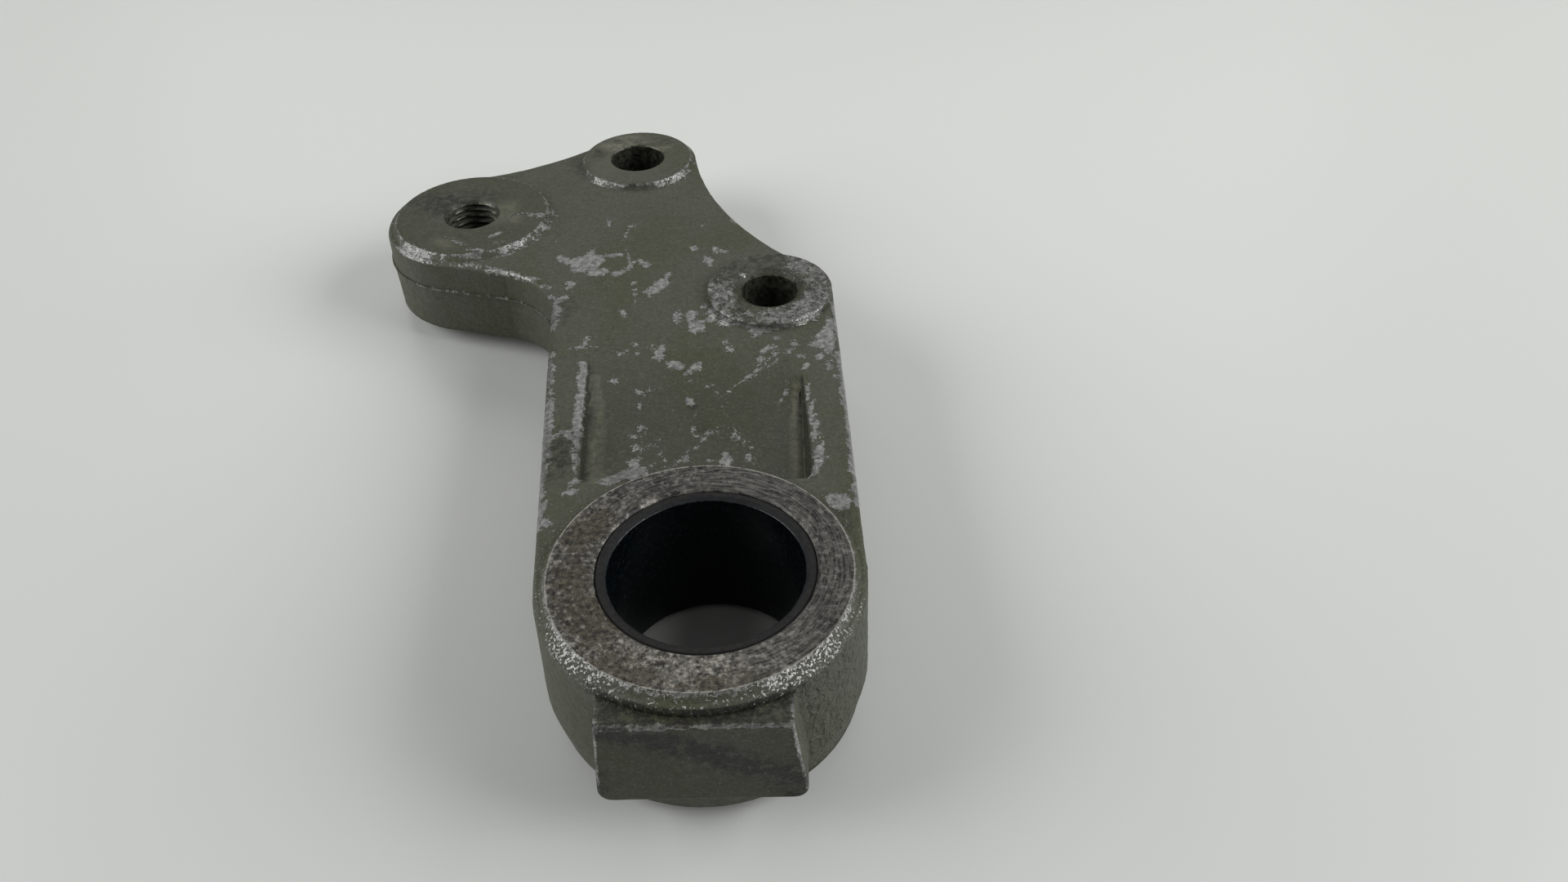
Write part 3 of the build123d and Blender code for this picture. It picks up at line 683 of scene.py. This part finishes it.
# Painted highlight: worn tips turn near white where the sparkle field sets the lamps' glints
metal = add(tree, "MixRGB", {"Fac": tips_and_glints, "Color1": metal, "Color2": linear("BEBEBA")})
colour = add(tree, "MixRGB", {"Fac": metal_shows, "Color1": coat, "Color2": metal})
tree.links.new(colour, shader.inputs["Base Color"])
metallic = add(tree, "Math", {0: metal_shows, 1: 0.55}, operation="MULTIPLY")
tree.links.new(metallic, shader.inputs["Metallic"])
gloss = add(tree, "MapRange", {"Value": patchy, "To Min": 0.44, "To Max": 0.58})
gloss = add(tree, "Math", {0: metal_shows, 1: -0.08, 2: gloss}, operation="MULTIPLY_ADD")
tree.links.new(gloss, shader.inputs["Roughness"])
coat_step = add(tree, "Math", {0: metal_shows, 1: -0.07}, operation="MULTIPLY")
orange_peel = add(tree, "Math", {0: dust, 1: 0.05, 2: coat_step}, operation="MULTIPLY_ADD")
grain = add(tree, "TexNoise", {
    "Vector": spot, "Scale": 1 / grain_size, "Detail": 4.0, "Roughness": 0.6,
}, "Fac")
grain_depth = add(tree, "Math", {0: field["cast"], 1: 0.09}, operation="MULTIPLY")
relief = add(tree, "Math", {0: grain, 1: grain_depth, 2: orange_peel}, operation="MULTIPLY_ADD")
fleck_depth = add(tree, "Math", {0: field["sparkle"], 1: 0.3}, operation="MULTIPLY")
relief = add(tree, "Math", {0: flecks, 1: fleck_depth, 2: relief}, operation="MULTIPLY_ADD")
dimple_look = {"Scale": 1 / dimple_size, "Detail": 2.0, "Roughness": 0.5, "Distortion": 0.8}
dimples = add(tree, "TexNoise", {"Vector": spot, **dimple_look}, "Fac")
dimple_depth = add(tree, "Math", {0: field["hammered"], 1: 0.95}, operation="MULTIPLY")
relief = add(tree, "Math", {0: dimples, 1: dimple_depth, 2: relief}, operation="MULTIPLY_ADD")
bump = add(tree, "Bump", {"Height": relief, "Strength": 1.0, "Distance": MM}, "Normal")
tree.links.new(bump, shader.inputs["Normal"])

# Turned aluminium, bare and gone dull: dark grey with brown stains, dark pits, pale bloom and, at the
# seat's edge, a painted glint, and fine rings from the lathe tool that run round the bore.
turned, tree, shader, spot = finish("turned_aluminium_dulled")
field = {}
for name in ("bloom_and_glint", "brown", "tooled"):
    field[name] = add(tree, "Attribute", {}, "Fac", attribute_name=name)

# Sizes in millimetres: the spacing of the rings, blotches, pits with their specks, and stains.
# Real rings are finer still, and are drawn as coarse as they need to show.
ring_size, blotch_size, pit_size, stain_size = 0.29412, 3.3333, 0.83333, 1.1111
flat_spot = add(tree, "VectorMath", {0: spot, 1: (1.0, 1.0, 0.0)}, operation="MULTIPLY")
radius = add(tree, "VectorMath", {0: flat_spot}, "Value", operation="LENGTH")
axes = add(tree, "SeparateXYZ", {0: spot}, "X").node
angle = add(tree, "Math", {0: axes.outputs["Y"], 1: axes.outputs["X"]}, operation="ARCTAN2")
turn_share = add(tree, "Math", {0: angle, 1: 1.3}, operation="MULTIPLY")
ring_spot = add(tree, "CombineXYZ", {"X": radius, "Y": turn_share})
rings = add(tree, "TexNoise", {
    "Vector": ring_spot, "Scale": 1 / ring_size, "Detail": 2.0, "Roughness": 0.6,
}, "Fac")
blotch = add(tree, "TexNoise", {
    "Vector": spot, "Scale": 1 / blotch_size, "Detail": 6.0, "Roughness": 0.75,
}, "Fac")
fine = add(tree, "TexNoise", {
    "Vector": spot, "Scale": 1 / pit_size, "Detail": 5.0, "Roughness": 0.78,
}, "Fac")
tone = add(tree, "MapRange", {"Value": blotch, "From Min": 0.42, "From Max": 0.58})
dull = add(tree, "MixRGB", {"Fac": tone, "Color1": linear("242423"), "Color2": linear("585650")})
bloom_and_glint_share = add(tree, "MapRange", {"Value": blotch, "From Min": 0.62, "From Max": 0.38})
bloom_and_glint_share = add(tree, "Math", {0: bloom_and_glint_share, 1: field["bloom_and_glint"]}, operation="MULTIPLY")
dull = add(tree, "MixRGB", {"Fac": bloom_and_glint_share, "Color1": dull, "Color2": linear("8B8880")})
specks = add(tree, "MapRange", {"Value": fine, "From Min": 0.52, "From Max": 0.60})
speck_share = add(tree, "Math", {0: field["bloom_and_glint"], 1: 0.5, 2: 0.45}, operation="MULTIPLY_ADD")
specks = add(tree, "Math", {0: specks, 1: speck_share}, operation="MULTIPLY")
dull = add(tree, "MixRGB", {"Fac": specks, "Color1": dull, "Color2": linear("B6B3A9")})
stain_look = {"Scale": 1 / stain_size, "Detail": 5.0, "Roughness": 0.75, "Distortion": 0.6}
stain = add(tree, "TexNoise", {"Vector": spot, **stain_look}, "Fac")
stain = add(tree, "Math", {0: field["brown"], 1: 0.2, 2: stain}, operation="MULTIPLY_ADD")
stain = add(tree, "MapRange", {"Value": stain, "From Min": 0.57, "From Max": 0.66, "To Max": 0.75})
dull = add(tree, "MixRGB", {"Fac": stain, "Color1": dull, "Color2": linear("453E2C")})
pits = add(tree, "MapRange", {"Value": fine, "From Min": 0.48, "From Max": 0.42, "To Max": 0.95})
dull = add(tree, "MixRGB", {"Fac": pits, "Color1": dull, "Color2": linear("1F1D19")})
cuts = add(tree, "MapRange", {"Value": rings, "From Min": 0.40, "From Max": 0.60})
cuts = add(tree, "MixRGB", {"Fac": cuts, "Color1": linear("181715"), "Color2": linear("6C6B67")})
cut_share = add(tree, "Math", {0: field["tooled"], 1: 0.5}, operation="MULTIPLY")
dull = add(tree, "MixRGB", {"Fac": cut_share, "Color1": dull, "Color2": cuts})
rim_spot = add(tree, "VectorMath", {0: flat_spot, 1: (-hub_x, -hub_y, 0.0)}, operation="ADD")
rim_radius = add(tree, "VectorMath", {0: rim_spot}, "Value", operation="LENGTH")
on_rim_line = add(tree, "Math", {0: rim_radius, 1: hub_land_radius - 0.1, 2: 0.1}, operation="COMPARE")
rim_range = {"From Min": 0.38, "From Max": 0.50, "To Min": 0.1, "To Max": 0.75}
worn_rim = add(tree, "MapRange", {"Value": fine, **rim_range})
worn_rim = add(tree, "Math", {0: worn_rim, 1: on_rim_line}, operation="MULTIPLY")
dull = add(tree, "MixRGB", {"Fac": worn_rim, "Color1": dull, "Color2": linear("A6A49C")})
tree.links.new(dull, shader.inputs["Base Color"])
shader.inputs["Metallic"].default_value = 0.4
gloss = add(tree, "MapRange", {"Value": fine, "To Min": 0.66, "To Max": 0.40})
tree.links.new(gloss, shader.inputs["Roughness"])
ring_depth = add(tree, "Math", {0: field["tooled"], 1: 0.06}, operation="MULTIPLY")
relief = add(tree, "Math", {0: rings, 1: ring_depth}, operation="MULTIPLY")
relief = add(tree, "Math", {0: fine, 1: 0.09, 2: relief}, operation="MULTIPLY_ADD")
bump = add(tree, "Bump", {"Height": relief, "Strength": 1.0, "Distance": MM}, "Normal")
tree.links.new(bump, shader.inputs["Normal"])

# Drilled and tapped walls: bare aluminium darkened by oil, smooth and glossy, with a mottle
# about a millimetre across
mottle_size = 0.90909
drilled, tree, shader, spot = finish("drilled_aluminium_oiled")
mottle = add(tree, "TexNoise", {
    "Vector": spot, "Scale": 1 / mottle_size, "Detail": 4.0, "Roughness": 0.65,
}, "Fac")
tone = add(tree, "MapRange", {"Value": mottle, "From Min": 0.35, "From Max": 0.65})
oiled = add(tree, "MixRGB", {"Fac": tone, "Color1": linear("20231C"), "Color2": linear("5B5D50")})
tree.links.new(oiled, shader.inputs["Base Color"])
shader.inputs["Metallic"].default_value = 0.6
gloss = add(tree, "MapRange", {"Value": mottle, "To Min": 0.22, "To Max": 0.50})
tree.links.new(gloss, shader.inputs["Roughness"])
relief = add(tree, "Math", {0: mottle, 1: 0.05}, operation="MULTIPLY")
bump = add(tree, "Bump", {"Height": relief, "Strength": 1.0, "Distance": MM}, "Normal")
tree.links.new(bump, shader.inputs["Normal"])

skin.materials.clear()
for made in (paint, turned, drilled):
    skin.materials.append(made)

# Turned are the hub's two faces, the seat of the bush and the pads below, and drilled the
# walls of the three holes. All the rest is painted.
pad_skin, seat_skin, level_normal = 0.05, 0.35, 0.9
for face in skin.polygons:
    middle = face.center / MM
    is_level = abs(face.normal.z) > level_normal
    on_hub = hypot(middle.x - hub_x, middle.y - hub_y) < hub_land_radius
    if is_level and (on_hub and abs(middle.z) > face_level or middle.z < pad_face + pad_skin):
        face.material_index = 1
    elif hypot(middle.x, middle.y) < bush_seat_radius + seat_skin:
        face.material_index = 1
    elif not is_level and any(hypot(middle.x - x, middle.y - y) < hole for x, y, _, hole in bosses):
        face.material_index = 2
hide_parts("bracket_casting")
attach(casting, "root")

# Pivot bush. A plain bush pressed into the hub, steel-backed with a dark sliding layer; its
# end is sawn and chamfered, and its bore is worn smooth and glossy.
lined, tree, shader, spot = finish("bush_sliding_layer")

# Radii in millimetres between which the bore turns into the lip, the lip into the sawn end,
# and the end into the dark joint round the bush, and the size of the worn marks
to_lip, to_end, to_joint = (12.66, 12.76), (13.02, 13.2), (13.86, 13.96)
wear_size = 0.66667
flat_spot = add(tree, "VectorMath", {0: spot, 1: (1.0, 1.0, 0.0)}, operation="MULTIPLY")
radius = add(tree, "VectorMath", {0: flat_spot}, "Value", operation="LENGTH")
scuffed = add(tree, "TexNoise", {
    "Vector": spot, "Scale": 1 / wear_size, "Detail": 4.0, "Roughness": 0.65,
}, "Fac")
wander = add(tree, "Math", {0: scuffed, 1: 0.3, 2: radius}, operation="MULTIPLY_ADD")
off_bore = add(tree, "MapRange", {"Value": wander, "From Min": to_lip[0], "From Max": to_lip[1]}, **smooth)
on_end = add(tree, "MapRange", {"Value": wander, "From Min": to_end[0], "From Max": to_end[1]}, **smooth)
tone = add(tree, "MapRange", {"Value": scuffed, "From Min": 0.35, "From Max": 0.65})
bore = add(tree, "MixRGB", {"Fac": tone, "Color1": linear("020405"), "Color2": linear("081012")})
lip = add(tree, "MixRGB", {"Fac": tone, "Color1": linear("151617"), "Color2": linear("232527")})
end = add(tree, "MixRGB", {"Fac": tone, "Color1": linear("151414"), "Color2": linear("252423")})
colour = add(tree, "MixRGB", {"Fac": off_bore, "Color1": bore, "Color2": lip})
colour = add(tree, "MixRGB", {"Fac": on_end, "Color1": colour, "Color2": end})
on_joint = add(tree, "MapRange", {"Value": wander, "From Min": to_joint[0], "From Max": to_joint[1]})
colour = add(tree, "MixRGB", {"Fac": on_joint, "Color1": colour, "Color2": linear("030303")})
tree.links.new(colour, shader.inputs["Base Color"])
gloss = add(tree, "MapRange", {"Value": off_bore, "To Min": 0.22, "To Max": 0.75})
tree.links.new(gloss, shader.inputs["Roughness"])
shader.inputs["Specular IOR Level"].default_value = 0.3
relief = add(tree, "Math", {0: scuffed, 1: 0.02}, operation="MULTIPLY")
bump = add(tree, "Bump", {"Height": relief, "Strength": 1.0, "Distance": MM}, "Normal")
tree.links.new(bump, shader.inputs["Normal"])
bush = frame["nodes"]["pivot_bush"]
for slot in bush.material_slots:
    slot.material = lined

# Floor: a plain pale table top. The hub reaches lower than the caliper end, so the bracket
# rests on the hub's far rim and the far boss pad, and the table is set to touch both.
floor_slope_x = -0.0180
floor_slope_y = 0.0550
floor_level, floor_size = -11.894, 6.0
bpy.ops.mesh.primitive_grid_add(x_subdivisions=2, y_subdivisions=2, size=floor_size, location=(0, 0, 0))
floor = bpy.context.object
floor.name = "table_top"
for point in floor.data.vertices:
    point.co.z = floor_level * MM + floor_slope_x * point.co.x + floor_slope_y * point.co.y

# The table's laminate is satin, and its colour is painted a little lighter away from the camera, a painted
# fall-off of the lamps' light, as in the photograph
near_mm, away_mm = -90.0, 230.0
laminate, tree, shader, spot = finish("laminate")
along = add(tree, "SeparateXYZ", {0: spot}, "Y")
painted_light_falloff = add(tree, "MapRange", {"Value": along, "From Min": near_mm, "From Max": away_mm}, **smooth)
colour = add(tree, "MixRGB", {"Fac": painted_light_falloff, "Color1": linear("D3D5D2"), "Color2": linear("E2E4E0")})
tree.links.new(colour, shader.inputs["Base Color"])
shader.inputs["Roughness"].default_value = 0.32
floor.data.materials.append(laminate)

# Lamps: a soft panel to each side, the right one a little stronger, a broad weak one behind,
# and a little light from all round
aim = Vector((0, 0.04, 0))
for name, where, width, height, energy in (
    ("left_panel", (-0.65, -0.05, 0.42), 0.6, 0.5, 3.95),
    ("right_panel", (0.65, -0.05, 0.42), 0.6, 0.5, 4.9),
    ("back_panel", (0.0, 0.90, 0.72), 1.2, 0.65, 2.2),
):
    panel = bpy.data.lights.new(name, "AREA")
    panel.shape = "RECTANGLE"
    panel.size = width
    panel.size_y = height
    panel.energy = energy
    lamp = bpy.data.objects.new(name, panel)
    lamp.location = where
    lamp.rotation_euler = (aim - lamp.location).to_track_quat("-Z", "Y").to_euler()
    bpy.context.scene.collection.objects.link(lamp)
world = bpy.data.worlds.new("studio")
world.use_nodes = True
world.node_tree.nodes["Background"].inputs["Color"].default_value = linear("DDDDDB")
world.node_tree.nodes["Background"].inputs["Strength"].default_value = 0.15
bpy.context.scene.world = world

# Camera: from the hub's end, looking down along the arm
focal_pixels, picture_width, sensor_width = 1575.407, 1920, 36.0
pitch, yaw, roll = 0.712049, -0.004423, 0.022851
camera_place = Vector((10.566, -111.254, 127.158)) * MM
ahead = Vector((sin(yaw) * cos(pitch), cos(yaw) * cos(pitch), -sin(pitch)))
level_right = Vector((cos(yaw), -sin(yaw), 0))
level_down = ahead.cross(level_right)
right = cos(roll) * level_right + sin(roll) * level_down
down = cos(roll) * level_down - sin(roll) * level_right
lens = bpy.data.cameras.new("camera")
lens.sensor_width = sensor_width
lens.lens = focal_pixels / picture_width * sensor_width
lens.clip_start = 0.01
lens.clip_end = 20
camera = bpy.data.objects.new("camera", lens)
turn = Matrix((right, -down, -ahead)).transposed().to_4x4()
camera.matrix_world = Matrix.Translation(camera_place) @ turn
bpy.context.scene.collection.objects.link(camera)
bpy.context.scene.camera = camera
bpy.context.scene.view_settings.view_transform = "Standard"
